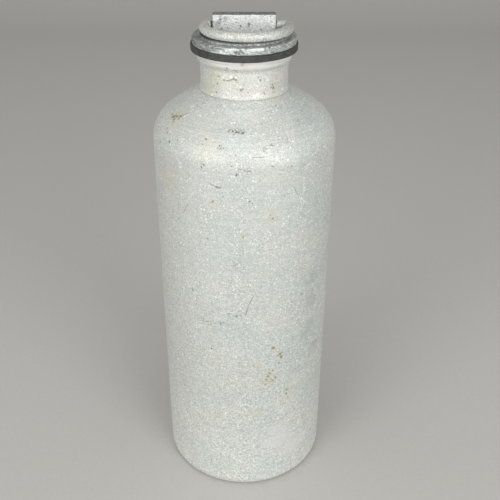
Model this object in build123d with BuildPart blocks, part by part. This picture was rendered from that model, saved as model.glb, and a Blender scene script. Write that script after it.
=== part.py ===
from build123d import *
import os
from math import atan, cos, radians, sin, sqrt, tan

# One-litre single-wall metal bottle with a screw stopper and a swinging wire bail.
# Millimetres, +Z up, origin at the centre of the base, the bail lying towards -Y.
# The stopper is screwed home and its thread and the neck's thread are in mesh.

# ---- shell ----
BODY_R = 41.5            # outside radius of the straight wall
SEAT_Z = 205.65          # the shoulder ends at this height
WALL = 1.3
BASE_T = 2.0             # thickness of the base
FOOT_FILLET = 3.9        # outside radius at the foot
FOOT_STEP = 4.6          # from the fillet in to the edge of the dish
DISH_H = 2.5             # the underside is dished by this much
SHOULDER_SLOPE = 33.0    # degrees above the horizontal
SHOULDER_R = 16.0        # rounding between wall and cone

# ---- neck ----
NECK_R = 19.25
NECK_WALL = 2.35         # at the thread's root
NECK_H = 16.9            # from the shoulder's end to the rim
FOOT_OUT = 1.03          # the neck's foot is wider by this much
COLLAR_H = 3.75          # turned collar under the rim
COLLAR_OUT = 1.25        # how far its lower edge stands out
COLLAR_EDGE = 0.8        # rounding of its lower edge
COVE_H = 2.2             # hollow under the collar
FLARE = 0.4              # the collar widens by this much up to the rim
RIM_EDGE = 0.3
MOUTH_EDGE = 0.6
SPIGOT_WALL = 2.05       # goes down inside the shell
SPIGOT_CLEAR = 0.05
SPIGOT_DROP = 2.6
SEAM = 0.45              # fine groove where the neck ring meets the shell
SEAM_TURN = radians(50)

# ---- thread, right hand ----
PITCH = 4.0
THREAD_DEPTH = 1.35
CREST_CLEAR = 0.45       # from each crest to the other piece's root
ROOT_HALF = 1.0          # half width of a ridge at its root
CREST_HALF = 0.5
EMBED = 0.3              # how far a ridge's root is let into its own wall
NUT_RISE = 3.95          # from the shoulder's end to the first turn's centre line
NUT_TURNS = 2.8
SCREW_TURNS = 2.2

# ---- gasket ----
GASKET_OVER = 2.3        # wider than the rim
GASKET_T = 2.75
GASKET_GAP = 0.5         # between the gasket's hole and the stopper's core
GASKET_EDGE = 0.3

# ---- stopper ----
PLUG_DROP = 13.0         # how far the plug reaches below the rim
PLUG_CHAMFER = 0.8
FLANGE_IN = 0.7          # narrower than the gasket
FLANGE_T = 3.0
FLANGE_ROUND = 0.35
FLANGE_CHAMFER = 0.1
BOSS_IN = 3.4            # narrower than the flange
BOSS_H = 1.5
BOSS_EDGE = 0.4

# ---- grip lug ----
LUG_HALF_L = 13.45
LUG_HALF_T = 2.7
LUG_RISE = 4.95          # above the bail's axis
LUG_SET = 1.2            # let into a slot in the boss
LUG_SLOT_CLEAR = 0.05
LUG_EDGE = 0.2
LUG_CORNER = 0.7

# ---- bail ----
WIRE_R = 2.1
BAIL_CLEAR = 0.35        # under the wire when it lies down
BAIL_IN = 0.5            # the loop ends this far inside the flange's edge
BAIL_SHIFT = 1.0         # the loop stands a little to the right
BAIL_SIDE = 3.2          # straight legs up to here
BEND_OVER = 0.2          # the bends' centre line is wider than the wire by this
BEND_OUT = 0.25          # straight wire between the left end and its bend
LEFT_PLAY = 0.95
RIGHT_PLAY = 0.2
PIN_R = 1.7
PIN_CLEAR = 0.06
PIN_REACH = 3.6          # into the lug
PIN_END_GAP = 0.8

# ---- worked out from the above ----
SLOPE = radians(SHOULDER_SLOPE)
TURN = radians(90 - SHOULDER_SLOPE)
SEAT_R = NECK_R + FOOT_OUT
SHOULDER_CORNER_Z = SEAT_Z - (BODY_R - SEAT_R) * tan(SLOPE)
SHOULDER_Z0 = SHOULDER_CORNER_Z - SHOULDER_R * tan(TURN / 2)
FOOT_FILLET_IN = FOOT_FILLET - WALL
DISH_R = BODY_R - FOOT_FILLET - FOOT_STEP
NECK_FOOT_FILLET = FOOT_OUT / (1 - cos(TURN))
NECK_BORE_R = NECK_R - NECK_WALL
SPIGOT_R = NECK_BORE_R + SPIGOT_WALL
OPENING_R = SPIGOT_R + SPIGOT_CLEAR
COLLAR_R = NECK_R + COLLAR_OUT
RIM_R = COLLAR_R + FLARE
RIM_Z = SEAT_Z + NECK_H
COLLAR_Z = RIM_Z - COLLAR_H
COVE_TURN = 2 * atan(COLLAR_OUT / COVE_H)
COVE_R = COVE_H / sin(COVE_TURN)
NUT_Z0 = SEAT_Z + NUT_RISE
SCREW_Z0 = NUT_Z0 + PITCH / 2
CORE_R = NECK_BORE_R - THREAD_DEPTH - CREST_CLEAR
PLUG_Z0 = RIM_Z - PLUG_DROP
GASKET_R = RIM_R + GASKET_OVER
FLANGE_R = GASKET_R - FLANGE_IN
FLANGE_Z0 = RIM_Z + GASKET_T
FLANGE_Z1 = FLANGE_Z0 + FLANGE_T
BOSS_R = FLANGE_R - BOSS_IN
BOSS_Z = FLANGE_Z1 + BOSS_H
BAIL_Z = BOSS_Z + BAIL_CLEAR + WIRE_R
BAIL_REACH = FLANGE_R - BAIL_IN - WIRE_R
BAIL_BEND = WIRE_R + BEND_OVER
BAIL_HALF_W = LUG_HALF_L + LEFT_PLAY + BAIL_SHIFT + BAIL_BEND + BEND_OUT
LUG_FLOOR = BOSS_Z - LUG_SET
LUG_TOP_Z = BAIL_Z + LUG_RISE


def dish_point(r, level):
    """A point of the dished base at radius r, above the given level."""
    ball = (DISH_R ** 2 + DISH_H ** 2) / (2 * DISH_H)
    return (r, level + DISH_H - ball + sqrt(ball ** 2 - r ** 2))


def shoulder_point(radius, turn):
    """A point on a shoulder arc, turn radians up from the wall."""
    return (BODY_R - SHOULDER_R + radius * cos(turn), SHOULDER_Z0 + radius * sin(turn))


def cone_inside_z(r):
    """Height of the shoulder's inside face at radius r."""
    return SHOULDER_CORNER_Z + (BODY_R - r) * tan(SLOPE) - WALL / cos(SLOPE)


def neck_foot_point(turn):
    """A point on the concave foot of the neck, turn radians down from the upright."""
    r = NECK_R + NECK_FOOT_FILLET * (1 - cos(turn))
    return (r, SEAT_Z + NECK_FOOT_FILLET * (sin(TURN) - sin(turn)))


def cove_point(turn):
    """A point of the hollow under the collar, turn radians up from the neck's wall."""
    return (NECK_R + COVE_R * (1 - cos(turn)), COLLAR_Z - COVE_H + COVE_R * sin(turn))


def ring_edges(part, r, z):
    """The round edges of radius r at height z."""
    found = part.edges().filter_by(GeomType.CIRCLE)
    return [e for e in found if abs(e.radius - r) < 0.01 and abs(e.arc_center.Z - z) < 0.01]


def ridge_points(root_r, z, inward):
    """Outline of a thread ridge, its root let into the wall at root_r."""
    side = -1 if inward else 1
    crest = root_r + side * THREAD_DEPTH
    root = root_r - side * EMBED
    half = ROOT_HALF + EMBED * (ROOT_HALF - CREST_HALF) / THREAD_DEPTH
    return [(root, z - half), (crest, z - CREST_HALF), (crest, z + CREST_HALF), (root, z + half)]


os.makedirs("parts", exist_ok=True)

# ---- shell: drawn body, dished base, rounded shoulder, open at the top ----
with BuildPart() as shell:
    with BuildSketch(Plane.XZ):
        with BuildLine():
            foot_r = BODY_R - FOOT_FILLET
            ThreePointArc(dish_point(0, 0), dish_point(DISH_R / 2, 0), (DISH_R, 0))
            Line((DISH_R, 0), (foot_r, 0))
            CenterArc((foot_r, FOOT_FILLET), FOOT_FILLET, -90, 90)
            Line((BODY_R, FOOT_FILLET), (BODY_R, SHOULDER_Z0))
            ThreePointArc(
                (BODY_R, SHOULDER_Z0),
                shoulder_point(SHOULDER_R, TURN / 2),
                shoulder_point(SHOULDER_R, TURN),
            )
            Line(shoulder_point(SHOULDER_R, TURN), (SEAT_R, SEAT_Z))
            Line((SEAT_R, SEAT_Z), (OPENING_R, SEAT_Z))
            Line((OPENING_R, SEAT_Z), (OPENING_R, cone_inside_z(OPENING_R)))
            inner = SHOULDER_R - WALL
            Line((OPENING_R, cone_inside_z(OPENING_R)), shoulder_point(inner, TURN))
            ThreePointArc(
                shoulder_point(inner, TURN),
                shoulder_point(inner, TURN / 2),
                (BODY_R - WALL, SHOULDER_Z0),
            )
            in_foot = (BODY_R - WALL - FOOT_FILLET_IN, BASE_T + FOOT_FILLET_IN)
            Line((BODY_R - WALL, SHOULDER_Z0), (BODY_R - WALL, in_foot[1]))
            CenterArc(in_foot, FOOT_FILLET_IN, 0, -90)
            Line((in_foot[0], BASE_T), (DISH_R, BASE_T))
            ThreePointArc((DISH_R, BASE_T), dish_point(DISH_R / 2, BASE_T), dish_point(0, BASE_T))
            Line(dish_point(0, BASE_T), dish_point(0, 0))
        make_face()
    revolve(axis=Axis.Z)
shell.part.label = "shell"
export_step(shell.part, "parts/shell.step")

# ---- neck ring: stands on the shoulder's end, threaded inside, a collar under the gasket ----
with BuildPart() as neck_ring:
    with BuildSketch(Plane.XZ):
        with BuildLine():
            seam_top = neck_foot_point(SEAM_TURN)
            Polyline(
                (NECK_BORE_R, SEAT_Z - SPIGOT_DROP),
                (SPIGOT_R, SEAT_Z - SPIGOT_DROP),
                (SPIGOT_R, SEAT_Z),
                (SEAT_R - SEAM, SEAT_Z),
                seam_top,
            )
            ThreePointArc(seam_top, neck_foot_point(SEAM_TURN / 2), neck_foot_point(0))
            Line(neck_foot_point(0), cove_point(0))
            ThreePointArc(cove_point(0), cove_point(COVE_TURN / 2), (COLLAR_R, COLLAR_Z))
            Polyline(
                (COLLAR_R, COLLAR_Z),
                (RIM_R, RIM_Z - RIM_EDGE),
                (RIM_R - RIM_EDGE, RIM_Z),
                (NECK_BORE_R + MOUTH_EDGE, RIM_Z),
                (NECK_BORE_R, RIM_Z - MOUTH_EDGE),
                (NECK_BORE_R, SEAT_Z - SPIGOT_DROP),
            )
        make_face()
    revolve(axis=Axis.Z)
    fillet(ring_edges(neck_ring, COLLAR_R, COLLAR_Z), COLLAR_EDGE)
    with BuildLine():
        Helix(PITCH, NUT_TURNS * PITCH, NECK_BORE_R, center=(0, 0, NUT_Z0))
    with BuildSketch(Plane.XZ):
        with BuildLine():
            Polyline(*ridge_points(NECK_BORE_R, NUT_Z0, True), close=True)
        make_face()
    sweep(is_frenet=True)
neck_ring.part.label = "neck_ring"
export_step(neck_ring.part, "parts/neck_ring.step")

# ---- gasket: flat rubber ring between the rim and the stopper's flange ----
with BuildPart() as gasket:
    with BuildSketch(Plane.XY.offset(RIM_Z)):
        Circle(GASKET_R)
        Circle(CORE_R + GASKET_GAP, mode=Mode.SUBTRACT)
    extrude(amount=GASKET_T)
    fillet(ring_edges(gasket, GASKET_R, RIM_Z), GASKET_EDGE)
    fillet(ring_edges(gasket, GASKET_R, RIM_Z + GASKET_T), GASKET_EDGE)
gasket.part.label = "gasket"
export_step(gasket.part, "parts/gasket.step")

# ---- stopper: threaded plug, flange and raised boss, slotted for the lug ----
with BuildPart() as stopper:
    with BuildSketch(Plane.XZ):
        with BuildLine():
            Polyline(
                (0, PLUG_Z0),
                (CORE_R - PLUG_CHAMFER, PLUG_Z0),
                (CORE_R, PLUG_Z0 + PLUG_CHAMFER),
                (CORE_R, FLANGE_Z0),
                (FLANGE_R, FLANGE_Z0),
                (FLANGE_R, FLANGE_Z1),
                (BOSS_R, FLANGE_Z1),
                (BOSS_R, BOSS_Z),
                (0, BOSS_Z),
                close=True,
            )
        make_face()
    revolve(axis=Axis.Z)
    fillet(ring_edges(stopper, FLANGE_R, FLANGE_Z1), FLANGE_ROUND)
    chamfer(ring_edges(stopper, FLANGE_R, FLANGE_Z0), FLANGE_CHAMFER)
    fillet(ring_edges(stopper, BOSS_R, BOSS_Z), BOSS_EDGE)
    with BuildSketch(Plane.XY.offset(LUG_FLOOR)):
        Rectangle(2 * (LUG_HALF_L + LUG_SLOT_CLEAR), 2 * (LUG_HALF_T + LUG_SLOT_CLEAR))
    extrude(amount=LUG_SET + BOSS_EDGE, mode=Mode.SUBTRACT)
    with BuildLine():
        Helix(PITCH, SCREW_TURNS * PITCH, CORE_R, center=(0, 0, SCREW_Z0))
    with BuildSketch(Plane.XZ):
        with BuildLine():
            Polyline(*ridge_points(CORE_R, SCREW_Z0, False), close=True)
        make_face()
    sweep(is_frenet=True)
stopper.part.label = "stopper"
export_step(stopper.part, "parts/stopper.step")

# ---- grip lug: flat bar across the boss, drilled at both ends for the bail's pins ----
with BuildPart() as grip_lug:
    with BuildSketch(Plane.XY.offset(LUG_FLOOR)):
        RectangleRounded(2 * LUG_HALF_L, 2 * LUG_HALF_T, LUG_CORNER)
    extrude(amount=LUG_TOP_Z - LUG_FLOOR)
    chamfer(grip_lug.faces().sort_by(Axis.Z)[-1].edges(), LUG_EDGE)
    for side in (-1, 1):
        with BuildSketch(Plane.YZ.offset(side * LUG_HALF_L)):
            with Locations((0, BAIL_Z)):
                Circle(PIN_R + PIN_CLEAR)
        extrude(amount=-side * (PIN_REACH + PIN_END_GAP), mode=Mode.SUBTRACT)
grip_lug.part.label = "grip_lug"
export_step(grip_lug.part, "parts/grip_lug.step")

# ---- bail: round wire loop, its ends turned in and reduced to pins ----
with BuildPart() as bail:
    left_face = -(LUG_HALF_L + LEFT_PLAY)
    right_face = LUG_HALF_L + RIGHT_PLAY
    left = BAIL_SHIFT - BAIL_HALF_W
    right = BAIL_SHIFT + BAIL_HALF_W
    with BuildLine(Plane.XY.offset(BAIL_Z)):
        Line((left_face, 0), (left + BAIL_BEND, 0))
        CenterArc((left + BAIL_BEND, -BAIL_BEND), BAIL_BEND, 90, 90)
        Line((left, -BAIL_BEND), (left, -BAIL_SIDE))
        EllipticalCenterArc(
            (BAIL_SHIFT, -BAIL_SIDE),
            BAIL_HALF_W,
            BAIL_REACH - BAIL_SIDE,
            start_angle=180,
            arc_size=180,
        )
        Line((right, -BAIL_SIDE), (right, -BAIL_BEND))
        CenterArc((right - BAIL_BEND, -BAIL_BEND), BAIL_BEND, 0, 90)
        Line((right - BAIL_BEND, 0), (right_face, 0))
    with BuildSketch(Plane.YZ.offset(left_face)):
        with Locations((0, BAIL_Z)):
            Circle(WIRE_R)
    sweep()
    for face_x, side in ((left_face, 1), (right_face, -1)):
        reach = abs(face_x) - LUG_HALF_L + PIN_REACH
        with BuildSketch(Plane.YZ.offset(face_x - side * EMBED)):
            with Locations((0, BAIL_Z)):
                Circle(PIN_R)
        extrude(amount=side * (reach + EMBED))
bail.part.label = "bail"
export_step(bail.part, "parts/bail.step")
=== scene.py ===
from math import cos, pi, radians, sin

import bpy
from mathutils import Matrix, Vector, noise


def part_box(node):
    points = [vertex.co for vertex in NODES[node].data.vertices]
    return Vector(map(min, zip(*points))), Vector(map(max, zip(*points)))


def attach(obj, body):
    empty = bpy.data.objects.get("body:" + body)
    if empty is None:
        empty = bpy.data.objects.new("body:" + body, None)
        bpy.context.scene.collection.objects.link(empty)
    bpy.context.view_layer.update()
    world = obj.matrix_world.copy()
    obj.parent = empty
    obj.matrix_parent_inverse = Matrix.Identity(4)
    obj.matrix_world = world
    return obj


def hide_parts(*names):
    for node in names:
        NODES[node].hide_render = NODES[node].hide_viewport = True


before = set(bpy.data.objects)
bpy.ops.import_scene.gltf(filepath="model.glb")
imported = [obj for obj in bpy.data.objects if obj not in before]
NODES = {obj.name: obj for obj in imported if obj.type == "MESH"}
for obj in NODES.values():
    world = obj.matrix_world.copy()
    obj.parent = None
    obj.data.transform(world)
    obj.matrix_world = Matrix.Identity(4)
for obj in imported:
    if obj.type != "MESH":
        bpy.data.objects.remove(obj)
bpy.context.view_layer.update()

# A matt metal bottle with a black gasket, a screw stopper, a grip lug and a wire bail.
# Metres, in the CAD frame: +Z up the bottle's axis, the bail lying towards -Y.
# The shapes are the CAD's; this script gives them their worn, etched finishes.

MM = 0.001

# ---- camera: pinhole fit to the silhouette in the photograph ----
PHOTO_SIDE = 500                 # pixels
SENSOR = 36.0
LENS = 53.70
CAM_PLACE = Vector((0.0, -0.32117, 0.31054))
CAM_PITCH = radians(30.49)       # below the horizon
CAM_YAW = radians(0.49)          # towards +X
CAM_ROLL = radians(0.18)
CLIP_NEAR, CLIP_FAR = 0.01, 20

cam_turn = (
    Matrix.Rotation(-CAM_YAW, 4, "Z")
    @ Matrix.Rotation(pi / 2 - CAM_PITCH, 4, "X")
    @ Matrix.Rotation(CAM_ROLL, 4, "Z")
)
camera = bpy.data.objects.new("camera", bpy.data.cameras.new("camera"))
camera.data.sensor_width = SENSOR
camera.data.lens = LENS
camera.data.clip_start = CLIP_NEAR
camera.data.clip_end = CLIP_FAR
camera.matrix_world = Matrix.Translation(CAM_PLACE) @ cam_turn
bpy.context.scene.collection.objects.link(camera)
bpy.context.scene.camera = camera


def seen_at(px, py, node):
    """The point of a CAD node that the photograph shows at a pixel, or None."""
    reach = SENSOR / LENS / PHOTO_SIDE
    side = PHOTO_SIDE / 2
    ray = cam_turn.to_3x3() @ Vector(((px - side) * reach, (side - py) * reach, -1))
    hit, point, _, _ = NODES[node].ray_cast(CAM_PLACE, ray.normalized())
    return point if hit else None


# the colour sockets of a Mix node, which has others of the same names for numbers and vectors
MIX_A, MIX_B, MIX_RESULT = 6, 7, 2
NOISE_SHIFT = (1, 1.7, 0.6)      # how a shift is shared out over x, y and z
CELL_SHIFT = (1, 1.3, 0.7)
MIDDLE = (0.5, 0.5, 0.5)         # of three random numbers from 0 to 1
SMALL_FLECK = 0.35               # the smallest fleck against the largest
FLECK_EDGE = (0.5, 1.25)         # where a fleck starts to fade and where it ends, in its radii
SHARP_TO = 0.35                  # the part of a spot's radius that is fully marked
TAPER = 0.12                     # a scratch has its full width where along * (1 - along) is more
THIN_END = 0.35                  # the width of its ends, as a share of its full width


class Look:
    """A material's node tree with short calls. A value is a number, a tuple or an output."""

    def __init__(self, name):
        self.material = bpy.data.materials.new(name)
        self.material.use_nodes = True
        self.tree = self.material.node_tree
        self.tree.nodes.clear()
        out = self.tree.nodes.new("ShaderNodeOutputMaterial")
        self.shader = self.tree.nodes.new("ShaderNodeBsdfPrincipled")
        self.tree.links.new(self.shader.outputs["BSDF"], out.inputs["Surface"])
        coords = self.tree.nodes.new("ShaderNodeTexCoord")
        self.place = coords.outputs["Object"]
        self.normal = coords.outputs["Normal"]
        self.x, self.y, self.z = self.axes(self.place)

    def axes(self, vector):
        """The x, y and z of a vector."""
        n = self.tree.nodes.new("ShaderNodeSeparateXYZ")
        self.tree.links.new(vector, n.inputs[0])
        return n.outputs

    def put(self, socket, value):
        if isinstance(value, bpy.types.NodeSocket):
            self.tree.links.new(value, socket)
        else:
            socket.default_value = value

    def put_colour(self, socket, value):
        self.put(socket, (*value, 1) if isinstance(value, tuple) else value)

    def math(self, op, a, b=0.0, clamp=False):
        n = self.tree.nodes.new("ShaderNodeMath")
        n.operation = op
        self.put(n.inputs[0], a)
        self.put(n.inputs[1], b)
        if clamp:
            return self.math("MAXIMUM", self.math("MINIMUM", n.outputs[0], 1.0), 0.0)
        return n.outputs[0]

    def vector(self, op, a, b=(0, 0, 0), scale=None):
        n = self.tree.nodes.new("ShaderNodeVectorMath")
        n.operation = op
        self.put(n.inputs[0], a)
        self.put(n.inputs[1], b)
        if scale is not None:
            self.put(n.inputs["Scale"], scale)
        return n.outputs["Value" if op in ("LENGTH", "DOT_PRODUCT", "DISTANCE") else "Vector"]

    def step(self, x, lo, hi, at_lo=0.0, at_hi=1.0):
        """Smooth change from at_lo to at_hi while x goes from lo to hi. The node's own clamp
        stays off: it would hold every mark's value back, and a large shader runs out of room."""
        n = self.tree.nodes.new("ShaderNodeMapRange")
        n.clamp = False
        n.interpolation_type = "SMOOTHSTEP"
        for socket, value in zip(n.inputs, (x, lo, hi, at_lo, at_hi)):
            self.put(socket, value)
        return n.outputs[0]

    def mix(self, share, a, b):
        n = self.tree.nodes.new("ShaderNodeMix")
        n.data_type = "RGBA"
        self.put(n.inputs["Factor"], share)
        self.put_colour(n.inputs[MIX_A], a)
        self.put_colour(n.inputs[MIX_B], b)
        return n.outputs[MIX_RESULT]

    def painted(self, colour, mask, share, paint):
        """A colour with paint over it: all of its share where the mask is 1, none where it is 0."""
        return self.mix(self.math("MULTIPLY", mask, share), colour, paint)

    def noise(self, size, detail=2.0, rough=0.5, stretch=(1, 1, 1), shift=0.0, warp=0.0,
              at=None):
        """Noise whose features are about size across, longer along the axes of small stretch."""
        n = self.tree.nodes.new("ShaderNodeTexNoise")
        self.put(n.inputs["Vector"], self.moved(
            at, tuple(shift * s for s in NOISE_SHIFT), tuple(s / size for s in stretch)))
        n.inputs["Scale"].default_value = 1.0
        n.inputs["Detail"].default_value = detail
        n.inputs["Roughness"].default_value = rough
        n.inputs["Distortion"].default_value = warp
        return n.outputs["Fac"]

    def moved(self, at, by, scale=(1, 1, 1)):
        """A place scaled and then moved."""
        n = self.tree.nodes.new("ShaderNodeMapping")
        self.put(n.inputs["Vector"], at or self.place)
        n.inputs["Location"].default_value = by
        n.inputs["Scale"].default_value = scale
        return n.outputs[0]

    def from_axis(self):
        """The distance from the bottle's axis."""
        return self.vector("LENGTH", self.vector("MULTIPLY", self.place, (1, 1, 0)))

    def ringwise(self, radius):
        """The place as the way round the axis at a radius, the distance out and the height."""
        turn = self.math("ARCTAN2", self.x, self.math("MULTIPLY", self.y, -1.0))
        out = self.from_axis()
        return self.joined((self.math("MULTIPLY", turn, radius), out, self.z))

    def cells(self, size, shift=0.0, at=None):
        """Random cells: the distance to the middle in metres, three random numbers, and the
        place with the middle."""
        n = self.tree.nodes.new("ShaderNodeTexVoronoi")
        at = self.moved(at, tuple(shift * s * size for s in CELL_SHIFT))
        self.put(n.inputs["Vector"], at)
        n.inputs["Scale"].default_value = 1 / size
        far = self.math("MULTIPLY", n.outputs["Distance"], size)
        return far, self.parts(n.outputs["Color"]), (at, n.outputs["Position"])

    def frayed(self, size, reach, shift=0.0):
        """The place, pushed about by up to reach so that what is drawn there has ragged edges."""
        n = self.tree.nodes.new("ShaderNodeTexNoise")
        self.put(n.inputs["Vector"], self.moved(self.place, (shift * size,) * 3))
        n.inputs["Scale"].default_value = 1 / size
        n.inputs["Detail"].default_value = 1.0
        push = self.vector("SUBTRACT", self.joined(self.parts(n.outputs["Color"])), MIDDLE)
        return self.vector("ADD", self.place, self.vector("SCALE", push, scale=2 * reach))

    def flecks(self, size, radius, share, shift=0.0, at=None):
        """Scattered flecks of all sizes up to radius: their strength from 0 to 1. They are ragged
        where at is a frayed place."""
        far, chance, _ = self.cells(size, shift, at)
        reach = self.math("MULTIPLY", self.step(chance[0], 0, 1, SMALL_FLECK, 1), radius)
        inside = self.step(self.math("DIVIDE", far, reach), *FLECK_EDGE, 1, 0)
        strength = self.step(chance[1], 1 - share, 1.02 - share * 0.4)
        return self.math("MULTIPLY", inside, strength)

    def tint(self, colour, factor):
        """A colour made lighter or darker."""
        n = self.tree.nodes.new("ShaderNodeHueSaturation")
        self.put(n.inputs["Value"], factor)
        self.put_colour(n.inputs["Color"], colour)
        return n.outputs["Color"]

    def parts(self, colour):
        """The three channels of a colour."""
        n = self.tree.nodes.new("ShaderNodeSeparateColor")
        self.tree.links.new(colour, n.inputs[0])
        return n.outputs

    def joined(self, values):
        """A vector made of three values."""
        n = self.tree.nodes.new("ShaderNodeCombineXYZ")
        for socket, value in zip(n.inputs, values):
            self.put(socket, value)
        return n.outputs[0]

    def lines(self, size, length, width, share, shift=0.0):
        """Scattered short scratches in all directions along the surface."""
        _, chance, ends = self.cells(size, shift)
        away = self.vector("SUBTRACT", *ends)
        flat = self.vector("SUBTRACT", away, self.vector(
            "SCALE", self.normal, scale=self.vector("DOT_PRODUCT", away, self.normal)))
        way = self.vector("SUBTRACT", self.joined(chance), MIDDLE)
        way = self.vector("SUBTRACT", way, self.vector(
            "SCALE", self.normal, scale=self.vector("DOT_PRODUCT", way, self.normal)))
        way = self.vector("NORMALIZE", way)
        along = self.vector("DOT_PRODUCT", flat, way)
        off = self.vector("LENGTH", self.vector(
            "SUBTRACT", flat, self.vector("SCALE", way, scale=along)))
        mark = self.step(off, width * 0.4, width, 1, 0)
        mark = self.math("MULTIPLY", mark, self.step(
            self.math("ABSOLUTE", along), length * 0.3, length * 0.5, 1, 0))
        return self.math("MULTIPLY", mark, self.math("LESS_THAN", chance[1], share))

    def spots(self, marks, node, ragged=None):
        """Spots where the photograph has them: marks are (pixel x, pixel y, radius in mm)."""
        total = 0.0
        for px, py, radius in marks:
            middle = seen_at(px, py, node)
            if middle is None:
                continue
            far = self.vector("DISTANCE", self.place, tuple(middle))
            if ragged is not None:
                far = self.math("MULTIPLY", far, ragged)
            spot = self.step(far, radius * MM * SHARP_TO, radius * MM, 1, 0)
            total = self.math("MAXIMUM", total, spot)
        return total

    def strokes(self, marks, node, ragged=None):
        """Scratches: marks are (pixel x, pixel y, to pixel x, to pixel y, width in mm)."""
        total = 0.0
        for ax, ay, bx, by, width in marks:
            start, end = seen_at(ax, ay, node), seen_at(bx, by, node)
            if start is None or end is None:
                continue
            way = end - start
            here = self.vector("SUBTRACT", self.place, tuple(start))
            along = self.math("DIVIDE", self.vector("DOT_PRODUCT", here, tuple(way)),
                              way.length_squared, clamp=True)
            near = self.vector("SCALE", tuple(way), scale=along)
            far = self.vector("DISTANCE", here, near)
            if ragged is not None:
                far = self.math("MULTIPLY", far, ragged)
            taper = self.math("MULTIPLY", along, self.math("SUBTRACT", 1.0, along))
            reach = self.math("MULTIPLY", self.step(taper, 0, TAPER, THIN_END, 1), width * MM)
            total = self.math("MAXIMUM", total, self.math(
                "SUBTRACT", 1.0, self.math("DIVIDE", far, reach), clamp=True))
        return total

    def finish(self, colour, roughness, height, depth, metallic):
        self.put(self.shader.inputs["Base Color"], colour)
        self.put(self.shader.inputs["Roughness"], roughness)
        self.shader.inputs["Metallic"].default_value = metallic
        bump = self.tree.nodes.new("ShaderNodeBump")
        bump.inputs["Strength"].default_value = 1.0
        bump.inputs["Distance"].default_value = depth
        self.put(bump.inputs["Height"], height)
        self.put(self.shader.inputs["Normal"], bump.outputs["Normal"])
        return self.material


# ---- where the photograph shows marks ----
# a spot is pixel x, pixel y and radius in mm; a scratch is pixel x, pixel y, to pixel x,
# to pixel y and width in mm
SHELL_PITS = (
    (160.4, 142, 0.6), (169.3, 141.5, 0.75), (177.5, 140, 0.5), (206, 139, 0.55),
    (202.4, 144.4, 0.4), (219.4, 145.4, 0.45), (217.6, 148.3, 0.4), (220.4, 149, 0.4),
    (223.4, 148.3, 0.45), (235.4, 155.3, 0.45), (276, 105.6, 0.5), (301.5, 111, 0.5),
    (203.4, 165, 0.75), (201.6, 167, 0.55), (231.6, 166.6, 0.45), (238.2, 174.4, 0.5),
    (236.6, 175.4, 0.5), (249.6, 201.3, 0.6), (252.4, 203.6, 0.4), (216.6, 186.8, 0.6),
    (207.6, 238.5, 0.6), (301.8, 294, 0.8), (319.6, 289, 0.8), (228.3, 313.8, 0.6),
    (236.4, 316.2, 0.8), (240.9, 315.7, 0.5), (291.8, 302.4, 0.4), (178.5, 218.8, 0.5),
    (278.9, 363, 0.6), (211.8, 348.5, 0.6), (220.3, 453.9, 0.5), (250, 171, 0.4),
    (273.6, 166.8, 0.5), (291.8, 166.2, 0.5), (167.4, 132.4, 0.55), (170, 134.2, 0.4),
    (272, 166.4, 0.4), (229, 131, 0.6), (233.2, 131.6, 0.5), (236.4, 131.8, 0.75),
    (239.4, 132.6, 0.5), (241.6, 133.4, 0.6), (243.4, 132.6, 0.7), (233, 135, 0.4),
    (220.6, 106, 0.4), (238, 108.6, 0.35), (220.6, 323.6, 0.6), (223.4, 322.8, 0.45),
)
SHELL_SCUFFS = (                 # clusters of dark and bright specks
    (231.5, 130.6, 1.6), (236, 131, 2.0), (241, 131.6, 2.0), (245, 129.4, 1.0),
    (262.6, 150, 1.2), (266, 148, 1.3), (271.6, 144.6, 1.1), (237, 174, 1.3),
    (246, 171, 1.6), (191.8, 289.7, 1.6), (204, 320, 2.4), (209, 323, 2.0), (221, 323.6, 1.8),
    (220, 147, 1.2), (217, 171, 1.2), (237, 266, 3.0), (243, 268.6, 2.0), (233, 262, 1.6),
    (271.5, 381, 2.2), (286.5, 391, 2.0), (281, 355, 1.8), (298, 122, 1.6), (281, 108, 1.8),
)
SHELL_SPARKS = (                 # clusters of white specks
    (233.7, 261.6, 1.4), (242.9, 267.8, 1.8), (244, 237, 2.2), (252, 235, 1.6),
    (313.3, 216.7, 1.8), (304, 198.5, 1.8), (307, 203.5, 1.6), (272.4, 221, 2.0),
    (194, 270, 2.0), (184.7, 284, 1.8), (191, 290, 2.4), (220.4, 302.4, 1.8),
    (186.7, 307.6, 2.0), (237.8, 211.6, 1.8), (318, 232, 5.0), (312, 250, 5.0),
    (297, 235, 2.6), (280.6, 280, 2.4), (326, 300, 3.5), (321, 208, 3.0), (307, 166, 2.0),
    (295, 121, 1.6), (300, 104, 2.0), (260, 102, 2.4), (171, 131, 1.8), (221, 424, 3.0),
    (245, 440, 4.0), (236, 385, 3.4), (307, 365, 4.0), (313, 178, 4.0),
)
SHELL_TINTS = (                  # soft yellow
    (176, 116.6, 3.6), (181.5, 115, 2.8), (171, 124, 2.4), (187.5, 112.4, 1.8),
    (268, 375, 5.2), (267, 382, 4.4), (273, 377, 3.8), (275, 350, 3.0),
    (281, 355, 3.4), (273.4, 348, 2.4), (266.5, 273.6, 2.4), (279.4, 361, 2.0),
    (286.8, 389, 2.0), (271, 217, 3.0), (208, 322, 2.6), (275, 99.5, 2.2),
    (259, 366, 2.6), (258, 412, 3.4),
)
SHELL_STAIN = (                  # strong yellow
    (174.6, 116.6, 1.9), (178.4, 116.6, 1.9), (181.4, 115.6, 1.4), (173, 121, 0.9),
)
SHELL_FAINT = (                  # broad and faint
    (205, 156, 7.0), (213, 203, 4.0), (271, 217, 6.0), (170, 180, 9.0), (206, 148, 9.0),
    (172, 128, 6.0), (208, 322, 5.0), (243.3, 237.6, 4.4), (258, 412, 5.4),
)
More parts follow.
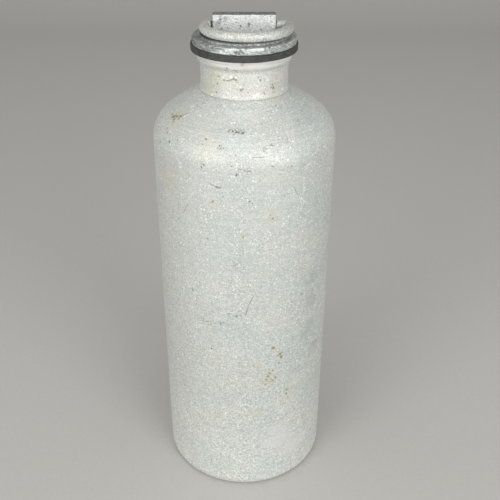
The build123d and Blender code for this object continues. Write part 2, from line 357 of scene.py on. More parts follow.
SHELL_RUST = (                   # brown
    (173.6, 116.4, 1.5), (172.6, 114, 1.0), (174.4, 119, 1.0), (177, 116.4, 1.1),
    (180.4, 116.6, 1.1), (179, 118.4, 0.9), (268, 376.6, 1.1),
    (266.2, 379.4, 0.9), (270, 373.2, 0.8), (275.4, 377.4, 0.9), (272, 380.6, 0.7),
    (279.8, 354.4, 1.7), (281, 356.6, 1.3), (273.4, 348, 1.4),
    (287, 389.4, 0.9), (286.4, 393.6, 0.8),
    (265.4, 384, 0.7), (273, 370.4, 0.7), (281.6, 352.6, 0.7), (212.6, 201.6, 0.7),
    (270.6, 215, 0.6), (273, 218.6, 0.6), (243.4, 237, 0.6), (167.8, 128.6, 0.7),
)
SHELL_RUST_STREAKS = (           # brown
    (182, 115.6, 189, 112.6, 0.5), (174.6, 120.6, 171, 126, 0.4),
    (208.4, 203.6, 214.6, 200.6, 0.3), (286, 394, 288.4, 398.4, 0.35),
)
SHELL_SCRATCHES = (              # dark
    (209.5, 183.6, 215.6, 186.6, 0.4), (213.6, 186.2, 221.4, 188.2, 0.7),
    (252, 157.8, 264, 157.6, 0.2), (293, 185, 297.8, 194.7, 0.24),
    (188.8, 202.4, 183.3, 213.3, 0.24), (161, 224, 172, 222.6, 0.28),
    (167, 211, 176.7, 220.6, 0.24), (168.2, 318.5, 170.6, 326, 0.4),
    (254.3, 295, 249.3, 304, 0.3), (249.3, 304, 245.4, 315.4, 0.3),
    (190.8, 287.4, 193.2, 291.6, 0.4), (237, 168.6, 252, 172.4, 0.28),
)
SHELL_RUBS = (                   # bright
    (310, 163, 306.3, 169.4, 0.5), (303.9, 182.6, 302.7, 195.9, 0.5),
    (301.3, 198.2, 306.3, 203, 0.7), (178.6, 160.4, 181.4, 163.6, 0.6),
    (183.6, 117.4, 188.6, 115, 0.5),
    (255.5, 101.4, 263.6, 104.4, 0.5), (175.2, 402, 175.6, 414, 0.6),
    (172.6, 122.4, 167.2, 130.4, 0.5), (187, 201, 196, 190, 0.3), (186, 279, 195, 296, 0.45),
    (214, 297, 230.5, 300.6, 0.35), (308, 164, 304.6, 171, 0.4), (247, 190, 250, 191, 0.4),
    (303, 176, 304.4, 184, 0.4), (299, 196, 302, 205, 0.4), (312, 182, 314.6, 186, 0.4),
)
SHELL_DULL = (                   # broad and darker
    (311, 300, 11.0), (314, 275, 9.0), (310, 325, 8.0), (313, 345, 7.0),
)
SHELL_TIDE = (                   # a faint dark line
    (223, 421, 250, 425.5, 0.9), (250, 425.5, 268, 423, 0.9), (268, 423, 284, 417.5, 0.9),
)
SHELL_SMOOTH = (                 # pale, without flecks
    (281, 438, 10.0), (292, 446, 9.0), (274, 430, 6.0), (301, 436, 6.0),
)
NECK_PITS = (
    (224, 80, 0.5), (227.2, 80.6, 0.45), (229, 81, 0.4), (231.2, 79.8, 0.65), (233.4, 79, 0.6),
    (236, 80, 0.55), (260.4, 80.4, 0.6), (240.8, 90, 0.5), (242.4, 89.4, 0.55),
    (272.6, 84.6, 0.55), (273.4, 87.6, 0.7), (271, 87.4, 0.45), (274.4, 97.6, 0.55),
    (227, 68.4, 0.5), (225.4, 70.2, 0.55), (233.6, 70.6, 0.45), (235.8, 71, 0.5),
    (218.6, 76.4, 0.5), (217.2, 83.6, 0.45), (216.4, 92.4, 0.45), (264, 93.4, 0.5),
    (232, 96.4, 0.35), (226.6, 95.2, 0.35), (248, 92.6, 0.35), (258.6, 77.4, 0.3),
)
NECK_BLOBS = ((242.2, 64.8, 1.0), (244, 85, 0.8), (273.4, 92, 0.8))
NECK_TINTS = (
    (230, 79.8, 2.4), (235, 79.8, 1.8), (260.5, 80.2, 1.4), (241, 89.4, 1.6),
    (273, 86, 2.4), (274, 92, 2.0), (274.3, 97, 1.8), (242.2, 64.6, 1.2),
    (226, 69.4, 1.8), (214, 82, 6.0), (209, 90, 5.0), (216, 74, 4.0),
)
NECK_CHIPS = (
    (286.2, 71, 0.6), (200.2, 78.4, 0.6), (282, 89, 0.8), (231, 77.6, 0.8), (236, 77.8, 0.6),
    (227, 79, 0.4), (258.8, 81, 0.5), (212, 95, 0.6), (228, 93, 0.6), (268, 80, 0.5),
    (258, 94, 0.8), (254, 96.4, 0.9), (240.6, 87, 0.6), (223, 77.6, 0.5),
)
STOPPER_GOUGES = (
    (239.6, 50.4, 242, 51.4, 0.7), (241.4, 51, 244, 54.6, 0.7), (230, 46.6, 234.6, 51.6, 0.45),
    (234, 51.6, 237, 54.4, 0.8), (215, 48.6, 222, 49.2, 0.5), (270, 53.2, 275, 51.8, 0.4),
)
STOPPER_PITS = (
    (269.8, 47.6, 0.8), (236, 52.6, 0.8), (206, 45.6, 0.7), (239, 54, 0.7), (245.6, 49.4, 0.5),
    (212, 48, 0.6), (266, 49.4, 0.4), (282, 46, 0.5), (208, 38, 0.9),
)
STOPPER_RUBS = (
    (231.4, 47, 236, 51, 0.9), (242, 49, 246, 52.6, 0.9), (210, 51.4, 228, 54.2, 0.7),
    (246, 50.6, 264, 50, 0.7), (252, 48, 262, 48.2, 0.8), (290.6, 40, 291.8, 46, 0.5),
    (226, 50.6, 232, 49.6, 0.6), (296.4, 44, 293.6, 46.8, 0.6), (216, 45, 222, 46.4, 0.5),
)
STOPPER_CHIPS = (
    (201, 41.6, 0.7), (198.6, 41, 0.5), (221, 52.4, 1.1), (226, 51, 0.9), (254, 50.4, 1.3),
    (258, 48, 1.0), (251.4, 47.4, 0.8), (248, 52, 0.8), (262, 49.6, 0.8), (200.6, 45, 0.4),
)
LUG_SMUDGES = (
    (249.3, 25, 1.2), (240.6, 26, 0.9), (227.4, 28.4, 0.6), (240, 28.6, 0.8), (225.4, 18.4, 1.2),
    (224.6, 21, 0.9),
)
LUG_WORN = ((219, 20.5, 2.4), (217, 23.5, 1.9), (220.5, 17, 1.8))
LUG_SPOTS = (
    (220.2, 19.8, 0.8), (213.8, 22, 0.8), (219, 23.6, 0.7), (217.8, 22.4, 0.4),
    (221.2, 29.2, 0.8), (248.9, 24.6, 0.8), (249.6, 23.2, 0.5), (248.6, 26.2, 0.7),
    (237, 19.4, 0.5), (236.4, 22.4, 0.5), (240.6, 25.6, 0.5), (270.6, 16.6, 0.5),
    (272, 21.8, 0.5), (261, 29.8, 0.6),
)
LUG_LINE = ((228.4, 15.8, 223.8, 25.2, 0.3),)
# painted shade along the valley where the bail's right leg meets its front
BAIL_CREASE_SHADE = ((277, 27.4, 283.6, 25.2, 0.5), (282.6, 25.6, 290, 23.4, 0.45))


# ---- finishes ----
# Lengths are in metres. The other numbers are shares, colours, shifts and the levels of a noise
# between which something sets in. A pair of places is a soft edge: the change starts at the
# first and is complete at the second.
def etched(look, shift, grain, cell, low, high):
    """The dense grain of etched aluminium, its brightness, pale and dark flecks, and pits."""
    fine = look.noise(grain, detail=1, rough=0.8, shift=shift)
    streaks = look.noise(0.5 * MM, detail=1, rough=0.6, stretch=(0.2, 0.2, 1), shift=shift + 3)
    _, chance, _ = look.cells(grain * 0.85, shift + 1)
    crisp = look.math("MULTIPLY", look.math("ADD", chance[0], chance[1]), 0.5)
    tone = look.math("MULTIPLY", look.step(fine, 0.3, 0.7, low, high),
                     look.step(streaks, 0.3, 0.7, 0.965, 1.035))
    tone = look.math("MULTIPLY", tone, look.step(crisp, 0.1, 0.9, low, high))
    ragged = look.frayed(0.5 * MM, 0.12 * MM, shift)
    pale = look.math("MAXIMUM", look.flecks(cell, cell * 0.19, 0.4, shift + 2, ragged),
                     look.flecks(cell * 0.6, cell * 0.13, 0.35, shift + 4, ragged))
    dark = look.math("MAXIMUM", look.flecks(cell * 1.1, cell * 0.2, 0.35, shift + 6, ragged),
                     look.flecks(cell * 0.65, cell * 0.13, 0.3, shift + 7, ragged))
    pits = look.flecks(cell * 4.5, cell * 0.3, 0.45, shift + 9, ragged)
    return fine, tone, pale, dark, pits


def sunk(look, height, *pits):
    """The height with each mask let in by its depth."""
    for mask, deep in pits:
        height = look.math("SUBTRACT", height, look.math("MULTIPLY", mask, deep))
    return height


def make_shell():
    look = Look("shell_etched_aluminium")
    sparks_right = (8 * MM, 26 * MM)     # x: more white specks to the right
    sparks_low = (90 * MM, 30 * MM)      # z: and low down
    warm_left = (0, -34 * MM)            # x: warmer to the left
    even_up = (20 * MM, 200 * MM)        # z: less mottled higher up
    pale_foot = (0, 75 * MM)             # z: paler at the foot
    fine, tone, pale, dark, pits = etched(
        look, shift=1.0, grain=0.45 * MM, cell=1.5 * MM, low=0.85, high=1.15)
    ragged = look.step(look.noise(0.9 * MM, detail=3, rough=0.7, shift=4), 0.3, 0.7, 0.6, 1.6)
    patches = look.noise(24 * MM, detail=3, rough=0.55, shift=2.3)
    blots = look.noise(6 * MM, detail=3, rough=0.6, shift=6.1)
    turned = look.noise(0.6 * MM, detail=2, rough=0.6, stretch=(0.04, 0.04, 1), shift=3)
    smooth = look.spots(SHELL_SMOOTH, "shell", look.step(blots, 0.3, 0.7, 0.8, 1.25))
    clusters = look.step(look.noise(5 * MM, detail=2, rough=0.7, shift=14.2), 0.42, 0.6, 0.3, 1)
    clusters = look.math("MAXIMUM", clusters, look.step(look.x, *sparks_right, 0, 0.9))
    clusters = look.math("MAXIMUM", clusters, look.step(look.z, *sparks_low, 0, 0.75))
    clusters = look.math("MAXIMUM", clusters, look.spots(SHELL_SPARKS, "shell", ragged))
    frayed = look.frayed(size=0.6 * MM, reach=0.22 * MM, shift=5.5)
    sparks = look.flecks(size=1.1 * MM, radius=0.44 * MM, share=0.7, shift=12.6, at=frayed)
    sparks = look.math("MULTIPLY", sparks, clusters)
    sparks = look.math("MULTIPLY", sparks, look.math("SUBTRACT", 1.0, smooth))

    warm = look.math("MAXIMUM", look.step(patches, 0.34, 0.68),
                     look.step(look.x, *warm_left, 0, 0.9))
    colour = look.mix(warm, (0.60, 0.64, 0.618), (0.64, 0.65, 0.605))
    colour = look.mix(look.step(blots, 0.32, 0.72, 0, 0.35), colour, (0.56, 0.59, 0.565))
    deeper = look.step(look.z, *even_up, 1.5, 0.85)
    tone = look.math("ADD", 1.0, look.math("MULTIPLY", look.math("SUBTRACT", tone, 1.0), deeper))
    colour = look.tint(colour, tone)
    colour = look.tint(colour, look.step(turned, 0.35, 0.65, 0.955, 1.03))
    busy = look.step(look.noise(7 * MM, detail=3, rough=0.7, shift=9.3), 0.4, 0.62, 0.25, 1.0)
    busy = look.math("MULTIPLY", busy, deeper, clamp=True)
    colour = look.painted(colour, look.math("MULTIPLY", dark, busy), 0.65, (0.3, 0.315, 0.3))
    colour = look.painted(colour, look.math("MULTIPLY", pale, busy), 0.95, (0.97, 0.98, 0.96))
    colour = look.painted(colour, sparks, 0.95, (0.99, 0.995, 0.98))
    colour = look.painted(colour, smooth, 0.6, (0.7, 0.7, 0.7))
    dull = look.spots(SHELL_DULL, "shell", look.step(blots, 0.34, 0.66, 0.6, 2.2))
    colour = look.painted(colour, dull, 0.42, (0.42, 0.45, 0.44))
    tide = look.strokes(SHELL_TIDE, "shell", ragged)
    colour = look.painted(colour, tide, 0.3, (0.36, 0.37, 0.35))
    colour = look.tint(colour, look.step(look.z, *pale_foot, 1.1, 0.98))
    colour = look.painted(colour, pits, 0.5, (0.19, 0.185, 0.16))

    tints = look.spots(SHELL_TINTS, "shell", look.step(blots, 0.3, 0.7, 0.75, 1.4))
    yellow = look.math("MULTIPLY", tints, look.step(fine, 0.36, 0.62, 0.1, 0.5))
    faint = look.spots(SHELL_FAINT, "shell", look.step(blots, 0.3, 0.7, 0.75, 1.4))
    yellow = look.math("MAXIMUM", yellow, look.math("MULTIPLY", faint, 0.2))
    colour = look.mix(yellow, colour, (0.68, 0.63, 0.44))
    stain = look.spots(SHELL_STAIN, "shell", look.step(fine, 0.3, 0.7, 0.7, 1.4))
    colour = look.painted(colour, stain, 0.55, (0.5, 0.445, 0.24))
    rust = look.spots(SHELL_RUST, "shell", ragged)
    rust = look.math("MAXIMUM", rust, look.strokes(SHELL_RUST_STREAKS, "shell", ragged))
    specks = look.math("MULTIPLY", look.step(tints, 0.25, 0.8), look.step(dark, 0.1, 0.6))
    rust = look.math("MAXIMUM", rust, look.math("MULTIPLY", specks, 0.7))
    colour = look.painted(colour, rust, 0.78, (0.25, 0.205, 0.105))

    scuffs = look.spots(SHELL_SCUFFS, "shell", ragged)
    rough_spot = look.step(look.noise(0.5 * MM, detail=2, rough=0.7, shift=7), 0.56, 0.44)
    scored = look.math("MULTIPLY", scuffs, rough_spot)
    colour = look.painted(colour, scored, 0.66, (0.17, 0.16, 0.13))
    nicks = look.step(look.noise(0.5 * MM, detail=1, shift=5), 0.56, 0.64)
    nicked = look.math("MULTIPLY", scuffs, nicks)
    colour = look.painted(colour, nicked, 0.95, (0.98, 0.99, 0.96))
    marks = look.spots(SHELL_PITS, "shell", ragged)
    marks = look.math("MAXIMUM", marks, look.strokes(SHELL_SCRATCHES, "shell", ragged))
    colour = look.painted(colour, marks, 0.78, (0.13, 0.125, 0.105))
    hair = look.lines(size=15 * MM, length=6 * MM, width=0.16 * MM, share=0.4, shift=3.4)
    colour = look.painted(colour, hair, 0.35, (0.25, 0.26, 0.25))
    rubs = look.strokes(SHELL_RUBS, "shell", ragged)
    shiny = look.lines(size=9 * MM, length=3 * MM, width=0.2 * MM, share=0.5, shift=8.8)
    rubs = look.math("MAXIMUM", rubs, look.math("MULTIPLY", shiny, 0.6))
    colour = look.painted(colour, rubs, 0.65, (0.94, 0.95, 0.92))

    rough = look.step(fine, 0.35, 0.65, 0.66, 0.5)
    rough = look.math("ADD", rough, look.step(patches, 0.3, 0.7, -0.04, 0.05))
    rough = look.math("SUBTRACT", rough, look.math("MULTIPLY", rubs, 0.15))
    height = look.math("ADD", fine, look.math("MULTIPLY", turned, 0.25))
    height = look.math("ADD", height, look.math("MULTIPLY", blots, 1.2))
    height = sunk(look, height, (pits, 0.8), (marks, 1.2), (hair, 0.5), (scored, 0.8))
    return look.finish(colour, rough, height, depth=0.07 * MM, metallic=0.4)


def make_neck():
    look = Look("neck_turned_aluminium")
    fine, tone, pale, dark, pits = etched(
        look, shift=11.0, grain=0.45 * MM, cell=1.2 * MM, low=0.85, high=1.13)
    ragged = look.step(look.noise(0.7 * MM, detail=3, rough=0.7, shift=14), 0.3, 0.7, 0.5, 1.25)
    patches = look.noise(9 * MM, detail=3, rough=0.55, shift=12.3)
    turned = look.noise(0.34 * MM, detail=3, rough=0.6, stretch=(0.03, 0.03, 1), shift=13)
    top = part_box("neck_ring")[1].z
    collar_foot = (top - 4.4 * MM, top - 2.2 * MM)   # z: the brighter collar's lower edge
    cove_shade_foot = (top - 6.0 * MM, top - 4.3 * MM)     # z: the lower edge of the painted shade in the hollow below it
    collar = look.step(look.z, *collar_foot)
    cove_shade = look.math("MULTIPLY", look.step(look.z, *cove_shade_foot),
                     look.math("SUBTRACT", 1.0, collar))

    colour = look.mix(look.step(patches, 0.34, 0.68), (0.665, 0.685, 0.66), (0.69, 0.69, 0.635))
    colour = look.tint(colour, tone)
    colour = look.painted(colour, dark, 0.65, (0.33, 0.33, 0.3))
    colour = look.painted(colour, pale, 0.8, (0.97, 0.975, 0.95))
    clean = look.mix(look.step(turned, 0.35, 0.65), (0.7, 0.705, 0.68), (0.93, 0.935, 0.9))
    colour = look.painted(colour, collar, 0.8, clean)
    # painted shade in the hollow below the collar
    colour = look.painted(colour, cove_shade, 0.25, (0.45, 0.45, 0.42))
    colour = look.painted(colour, pits, 0.5, (0.22, 0.2, 0.16))
    tints = look.spots(NECK_TINTS, "neck_ring", ragged)
    colour = look.painted(colour, tints, 0.35, (0.64, 0.61, 0.42))
    blobs = look.spots(NECK_BLOBS, "neck_ring")
    colour = look.painted(colour, blobs, 0.5, (0.36, 0.35, 0.26))
    chips = look.spots(NECK_CHIPS, "neck_ring", ragged)
    colour = look.painted(colour, chips, 0.8, (0.96, 0.965, 0.94))
    marks = look.spots(NECK_PITS, "neck_ring", ragged)
    colour = look.painted(colour, marks, 0.74, (0.19, 0.165, 0.105))

    rough = look.step(fine, 0.35, 0.65, 0.62, 0.48)
    rough = look.math("SUBTRACT", rough, look.math("MULTIPLY", collar, 0.14))
    height = look.math("ADD", fine, look.math("MULTIPLY", turned, 0.5))
    height = sunk(look, height, (pits, 0.8), (marks, 1.2))
    return look.finish(colour, rough, height, depth=0.06 * MM, metallic=0.4)


def make_gasket():
    look = Look("gasket_black_rubber")
    grain = look.noise(0.45 * MM, detail=2, rough=0.8, shift=21)
    dust = look.noise(4 * MM, detail=4, rough=0.65, shift=22)
    specks = look.flecks(size=1.3 * MM, radius=0.28 * MM, share=0.5, shift=23)
    rings = look.noise(0.5 * MM, detail=2, rough=0.5, stretch=(0.05, 0.05, 1), shift=24)
    colour = look.mix(look.step(dust, 0.35, 0.7), (0.036, 0.039, 0.038), (0.066, 0.068, 0.064))
    colour = look.tint(colour, look.step(grain, 0.3, 0.7, 0.4, 1.55))
    colour = look.painted(colour, specks, 0.6, (0.24, 0.24, 0.22))
    colour = look.mix(look.step(rings, 0.4, 0.6, 0.2, 0), colour, (0.02, 0.02, 0.02))
    rough = look.step(dust, 0.3, 0.7, 0.52, 0.72)
    height = look.math("ADD", grain, look.math("MULTIPLY", rings, 0.6))
    return look.finish(colour, rough, height, depth=0.05 * MM, metallic=0.0)


def make_stopper():
    look = Look("stopper_oxidised_aluminium")
    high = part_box("stopper")[1]
    out, top = high.x, high.z
    flange_out = (out - 3.35 * MM, out - 2.9 * MM)   # radius: where the flange's top starts
    bail_shadow_z = (top - 1.1 * MM, top - 0.3 * MM)       # z: the painted shadow of the bail, on the boss's upper edge
    bail_shadow_radius = (out - 5.0 * MM, out - 4.2 * MM)      # radius: the same
    rim_down = (top - 3.7 * MM, top - 4.0 * MM)      # z: the upper edge of the worn rim
    rim_up = (top - 5.0 * MM, top - 4.6 * MM)        # z: its lower edge
    rim_out = (out - 1.0 * MM, out - 0.5 * MM)       # radius: its inner edge
    front_right = (0.36, -0.93, 0)                   # the side with the bright scuffs
    scuffs_out = (9 * MM, 18.5 * MM)                 # towards that side: more scuffs
    pale_out = (-4 * MM, 15 * MM)                    # and a paler oxide
    fine, tone, pale, dark, pits = etched(
        look, shift=31.0, grain=0.5 * MM, cell=1.1 * MM, low=0.62, high=1.36)
    cloud = look.noise(2.4 * MM, detail=4, rough=0.65, shift=32)
    around = look.ringwise(out)
    scuff = look.noise(1.0 * MM, detail=4, rough=0.7, stretch=(0.36, 1, 1), shift=33, warp=0.8,
                       at=around)
    streaky = look.noise(0.5 * MM, detail=2, rough=0.7, stretch=(0.12, 1, 1), shift=36, at=around)
    broad = look.noise(6 * MM, detail=2, rough=0.5, shift=35)
    turned = look.noise(0.4 * MM, detail=2, rough=0.5, stretch=(0.03, 0.03, 1), shift=34)
    radius = look.from_axis()
    edge = look.step(radius, *flange_out)
    bail_shadow = look.math("MULTIPLY", look.step(look.z, *bail_shadow_z), look.step(radius, *bail_shadow_radius))
    rim = look.math("MULTIPLY", look.step(look.z, *rim_down), look.step(look.z, *rim_up))
    rim = look.math("MULTIPLY", rim, look.step(radius, *rim_out))
    towards = look.vector("DOT_PRODUCT", look.place, front_right)
    facing = look.step(towards, *scuffs_out, 0.08, 1)

    oxide = look.mix(look.step(cloud, 0.35, 0.68), (0.285, 0.297, 0.293), (0.43, 0.445, 0.438))
    oxide = look.tint(oxide, look.step(towards, *pale_out, 0.72, 1.12))
    oxide = look.tint(oxide, tone)
    oxide = look.tint(oxide, look.step(streaky, 0.3, 0.7, 0.82, 1.18))
    oxide = look.painted(oxide, pale, 0.7, (0.85, 0.87, 0.85))
    oxide = look.painted(oxide, dark, 0.55, (0.07, 0.072, 0.07))
    # painted shadow: the oxide darkened on the boss's upper edge, under the bail
    oxide = look.tint(oxide, look.math("SUBTRACT", 1.0, look.math("MULTIPLY", bail_shadow, 0.72)))
    bare = look.mix(look.step(scuff, 0.4, 0.66), (0.4, 0.412, 0.4), (0.8, 0.82, 0.795))
    bare = look.tint(bare, look.step(fine, 0.3, 0.7, 0.75, 1.2))
    bare = look.tint(bare, look.step(streaky, 0.3, 0.7, 0.8, 1.15))
    worn = look.math("MULTIPLY", edge, look.step(scuff, 0.34, 0.52, 0.15, 0.95))
    worn = look.math("MULTIPLY", worn, look.step(broad, 0.36, 0.56, 0.45, 1))
    worn = look.math("MULTIPLY", worn, facing)
    rubbed = look.math("MULTIPLY", rim, look.step(scuff, 0.3, 0.5, 0.2, 0.8))
    worn = look.math("MAXIMUM", worn, rubbed)
    colour = look.mix(worn, oxide, bare)
    gouges = look.math("MAXIMUM", look.strokes(STOPPER_GOUGES, "stopper"),
                       look.spots(STOPPER_PITS, "stopper"))
    colour = look.painted(colour, gouges, 0.8, (0.1, 0.104, 0.1))
    bright = look.math("MAXIMUM", look.strokes(STOPPER_RUBS, "stopper"),
                       look.spots(STOPPER_CHIPS, "stopper"))
    colour = look.painted(colour, bright, 0.62, (0.88, 0.9, 0.88))
    colour = look.painted(colour, pits, 0.6, (0.06, 0.06, 0.058))

    rough = look.step(worn, 0, 1, 0.6, 0.42)
    height = look.math("ADD", fine, look.math("MULTIPLY", turned, 0.3))
    height = look.math("ADD", height, look.math("MULTIPLY", scuff, 1.2))
    height = sunk(look, height, (pits, 0.8), (gouges, 1.0))
    return look.finish(colour, rough, height, depth=0.09 * MM, metallic=0.5)


def make_lug():
    look = Look("lug_etched_aluminium")
    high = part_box("grip_lug")[1]
    top_up = (high.z - 0.2 * MM, high.z - 0.12 * MM)     # z: the edge of the dark top
    fine, tone, pale, dark, pits = etched(
        look, shift=41.0, grain=0.45 * MM, cell=1.1 * MM, low=0.8, high=1.16)
    ragged = look.step(look.noise(0.8 * MM, detail=3, rough=0.7, shift=44), 0.3, 0.7, 0.6, 1.9)
    cloud = look.noise(1.6 * MM, detail=3, rough=0.7, shift=42)
    right, _, up = look.axes(look.normal)
    top = look.math("MAXIMUM", look.step(up, 0.3, 0.75),
                    look.step(look.z, *top_up))

    colour = look.mix(look.step(cloud, 0.34, 0.66), (0.735, 0.76, 0.74), (0.8, 0.815, 0.79))
    colour = look.tint(colour, tone)
    colour = look.painted(colour, dark, 0.65, (0.3, 0.31, 0.29))
    colour = look.painted(colour, pale, 0.6, (0.95, 0.96, 0.94))
    colour = look.painted(colour, pits, 0.4, (0.2, 0.2, 0.18))
    worn = look.spots(LUG_WORN, "grip_lug", ragged)
    patchy = look.step(cloud, 0.6, 0.42, 0.1, 0.58)
    colour = look.painted(colour, worn, patchy, (0.3, 0.315, 0.31))
    smudge = look.spots(LUG_SMUDGES, "grip_lug", ragged)
    smudge = look.math("MAXIMUM", smudge, look.strokes(LUG_LINE, "grip_lug", ragged))
    colour = look.painted(colour, smudge, 0.52, (0.2, 0.205, 0.19))
    spots = look.spots(LUG_SPOTS, "grip_lug", ragged)
    colour = look.painted(colour, spots, 0.65, (0.16, 0.165, 0.15))
    dull = look.mix(look.step(cloud, 0.36, 0.64), (0.14, 0.15, 0.148), (0.28, 0.292, 0.288))
    dull = look.painted(look.tint(dull, tone), pale, 0.3, (0.5, 0.52, 0.5))
    colour = look.mix(top, colour, dull)
    # painted shade: the lug's end faces darkened, as in the narrow gaps beside the bail's ends
    lug_end_shade = look.step(look.math("ABSOLUTE", right), 0.6, 0.9)
    colour = look.painted(colour, lug_end_shade, 0.6, (0.1, 0.1, 0.095))

    rough = look.step(fine, 0.35, 0.65, 0.66, 0.5)
    height = look.math("ADD", fine, look.math("MULTIPLY", cloud, 0.6))
    height = sunk(look, height, (pits, 0.8), (spots, 0.8))
    return look.finish(colour, rough, height, depth=0.09 * MM, metallic=0.4)


def make_bail():
    look = Look("bail_etched_aluminium")
    lug_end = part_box("grip_lug")[1].x
    slit_shade_left = (-lug_end - 0.75 * MM, -lug_end - 0.6 * MM)  # x: the left edge of the painted shade in the gap by the lug
    slit_shade_right = (6 * MM, 4 * MM)                            # x: its right edge
    slit_shade_front = (-2.4 * MM, -2.2 * MM)                      # y: its front edge
    shade_right = (13 * MM, 19 * MM)                         # x: darker to the right
    fine, tone, pale, dark, pits = etched(
        look, shift=51.0, grain=0.45 * MM, cell=1.1 * MM, low=0.78, high=1.2)
    cloud = look.noise(4 * MM, detail=4, rough=0.6, shift=52)
    up = look.axes(look.normal)[2]
    colour = look.mix(look.step(cloud, 0.35, 0.68), (0.585, 0.605, 0.575), (0.65, 0.65, 0.597))
    # painted shading: the wire darker on its upper side and lighter underneath
    colour = look.tint(colour, look.step(up, -0.5, 0.95, 1.14, 0.86))
    colour = look.tint(colour, look.step(look.x, *shade_right, 1.0, 0.88))
    colour = look.tint(colour, tone)
    colour = look.painted(colour, dark, 0.8, (0.22, 0.22, 0.19))
    colour = look.painted(colour, pale, 0.55, (0.94, 0.945, 0.9))
    colour = look.painted(colour, pits, 0.5, (0.2, 0.195, 0.17))
    # painted shade: near black on the bail's end in the narrow gap beside the lug
    slit_shade = look.step(look.x, *slit_shade_left)
    slit_shade = look.math("MULTIPLY", slit_shade, look.step(look.y, *slit_shade_front))
    slit_shade = look.math("MULTIPLY", slit_shade, look.step(look.x, *slit_shade_right))
    colour = look.painted(colour, slit_shade, 0.93, (0.03, 0.03, 0.028))
    # painted shade in the valley between the bail's right leg and its front
    crease_shade = look.strokes(BAIL_CREASE_SHADE, "bail")
    colour = look.painted(colour, crease_shade, 0.75, (0.16, 0.17, 0.165))
    rough = look.step(fine, 0.35, 0.65, 0.62, 0.48)
    height = sunk(look, fine, (pits, 0.8))
    return look.finish(colour, rough, height, depth=0.07 * MM, metallic=0.4)


FINISHES = {
    "shell": make_shell,
    "neck_ring": make_neck,
    "gasket": make_gasket,
    "stopper": make_stopper,
    "grip_lug": make_lug,
    "bail": make_bail,
}
# pieces made again with worn edges, dents and nicks: voxel, wear all over, dents, nicks (mm)
WORN = {
    "stopper": (0.2, 0.02, 0.07, 0.2),
    "grip_lug": (0.15, 0.02, 0.06, 0.2),
    "bail": (0.2, 0.02, 0.1, 0.1),
}
BODIES = {"stopper": "stopper_head", "grip_lug": "stopper_head", "bail": "bail_loop"}
SEED_PLACE = Vector((3.7, 1.9, 8.3))
GRAIN, DENT, NICK = 0.9, 3.1, 1.4      # mm: how far apart the hollows of each kind lie
DENT_MORE, NICK_LESS = 0.1, 0.12       # added to or taken from the noise, so more or fewer
EDGE_GAIN = 0.8                        # how soon an edge counts as fully sharp
EDGE_WEAR = 0.04                       # mm, off every sharp edge


def worn_piece(node, voxel, wear, dents, nicks):
    """A copy of a CAD node, cut into small faces and worn down. The cutting fills inside corners
    a little, by up to about 0.15 mm; the wear only takes away."""
    rough = bpy.data.objects.new(node + "_cut", NODES[node].data.copy())
    bpy.context.scene.collection.objects.link(rough)
    cut = rough.modifiers.new("cut", "REMESH")
    cut.mode = "VOXEL"
    cut.voxel_size = voxel * MM
    depsgraph = bpy.context.evaluated_depsgraph_get()
    mesh = bpy.data.meshes.new_from_object(rough.evaluated_get(depsgraph))
    bpy.data.objects.remove(rough)
    mesh.name = node + "_worn"
    count = len(mesh.vertices)
    places = [v.co.copy() for v in mesh.vertices]
    normals = [v.normal.copy() for v in mesh.vertices]
    near = [[] for _ in range(count)]
    for edge in mesh.edges:
        a, b = edge.vertices
        near[a].append(b)
        near[b].append(a)
    # sharp where the neighbours' normals differ: outside edges wear most
    for i in range(count):
        bend = sum((normals[j] - normals[i]).dot((places[j] - places[i]).normalized())
                   for j in near[i])
        sharp = min(max(bend, 0.0) * EDGE_GAIN, 1.0)
        p = places[i] / MM
        small = 0.5 + 0.5 * noise.noise(p / GRAIN + SEED_PLACE)
        broad = max(noise.noise(p / DENT - SEED_PLACE) + DENT_MORE, 0.0)
        nick = max(noise.noise(p / NICK + 2 * SEED_PLACE) - NICK_LESS, 0.0)
        depth = wear * small + dents * broad + sharp * (EDGE_WEAR + nicks * nick * 2)
        mesh.vertices[i].co = places[i] - normals[i] * depth * MM
    mesh.polygons.foreach_set("use_smooth", [True] * len(mesh.polygons))
    mesh.update()
    piece = bpy.data.objects.new(node + "_worn", mesh)
    bpy.context.scene.collection.objects.link(piece)
    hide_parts(node)
    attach(piece, BODIES[node])
    return piece


for node, make in FINISHES.items():
    material = make()
    if node not in WORN:
        NODES[node].material_slots[0].material = material
        continue
    piece = worn_piece(node, *WORN[node])
    piece.data.materials.clear()
    piece.data.materials.append(material)

# ---- stage: a pale floor that sweeps up behind, and soft studio light ----
FLOOR_COLOUR = (0.50, 0.49, 0.465)
FLOOR_HALF = 1.6
SWEEP_START, SWEEP_R, WALL_TOP = 0.9, 0.5, 2.4
SWEEP_STEPS = 24
PAPER_GRAIN = 1.2 * MM
PAPER_PALER = 1.04               # the palest of the paper against its colour

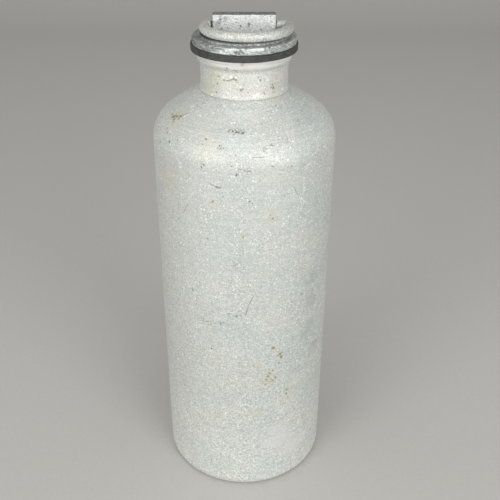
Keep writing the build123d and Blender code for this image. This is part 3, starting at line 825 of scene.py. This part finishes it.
sweep = [(-FLOOR_HALF, 0.0), (SWEEP_START, 0.0)]
for i in range(1, SWEEP_STEPS + 1):
    turn = pi / 2 * i / SWEEP_STEPS
    sweep.append((SWEEP_START + SWEEP_R * sin(turn), SWEEP_R * (1 - cos(turn))))
sweep.append((SWEEP_START + SWEEP_R, WALL_TOP))
verts = [(side * FLOOR_HALF, y, z) for y, z in sweep for side in (-1, 1)]
faces = [(2 * i, 2 * i + 1, 2 * i + 3, 2 * i + 2) for i in range(len(sweep) - 1)]
stage_mesh = bpy.data.meshes.new("studio_sweep")
stage_mesh.from_pydata(verts, [], faces)
stage_mesh.polygons.foreach_set("use_smooth", [True] * len(faces))
stage = bpy.data.objects.new("studio_sweep", stage_mesh)
bpy.context.scene.collection.objects.link(stage)
paper = Look("studio_paper")
paper_grain = paper.noise(PAPER_GRAIN, detail=2, shift=61)
paper_tone = paper.mix(paper.step(paper_grain, 0.3, 0.7), FLOOR_COLOUR,
                       tuple(c * PAPER_PALER for c in FLOOR_COLOUR))
stage_mesh.materials.append(paper.finish(
    paper_tone, roughness=0.9, height=paper_grain, depth=0.02 * MM, metallic=0.0))

# each lamp: name, degrees to the right of the camera's side, degrees up, distance and side in
# metres, watts
LAMPS = (
    ("key_left", -38, 14, 1.1, 0.55, 4.6),
    ("key_right", 33, 17, 1.1, 0.55, 5.2),
    ("top", -10, 72, 1.2, 1.0, 3.6),
)
AIM = Vector((0, 0, 0.12))
for name, azimuth, elevation, far, side, watts in LAMPS:
    a, e = radians(azimuth), radians(elevation)
    towards = Vector((sin(a) * cos(e), -cos(a) * cos(e), sin(e)))
    lamp = bpy.data.objects.new(name, bpy.data.lights.new(name, "AREA"))
    lamp.data.shape = "SQUARE"
    lamp.data.size = side
    lamp.data.energy = watts
    lamp.location = AIM + towards * far
    lamp.rotation_mode = "QUATERNION"
    lamp.rotation_quaternion = (-towards).to_track_quat("-Z", "Y")
    bpy.context.scene.collection.objects.link(lamp)

WORLD_LIGHT = 0.5
world = bpy.data.worlds.new("studio")
world.use_nodes = True
world.node_tree.nodes["Background"].inputs["Color"].default_value = (1, 1, 1, 1)
world.node_tree.nodes["Background"].inputs["Strength"].default_value = WORLD_LIGHT
bpy.context.scene.world = world
bpy.context.scene.view_settings.view_transform = "Standard"
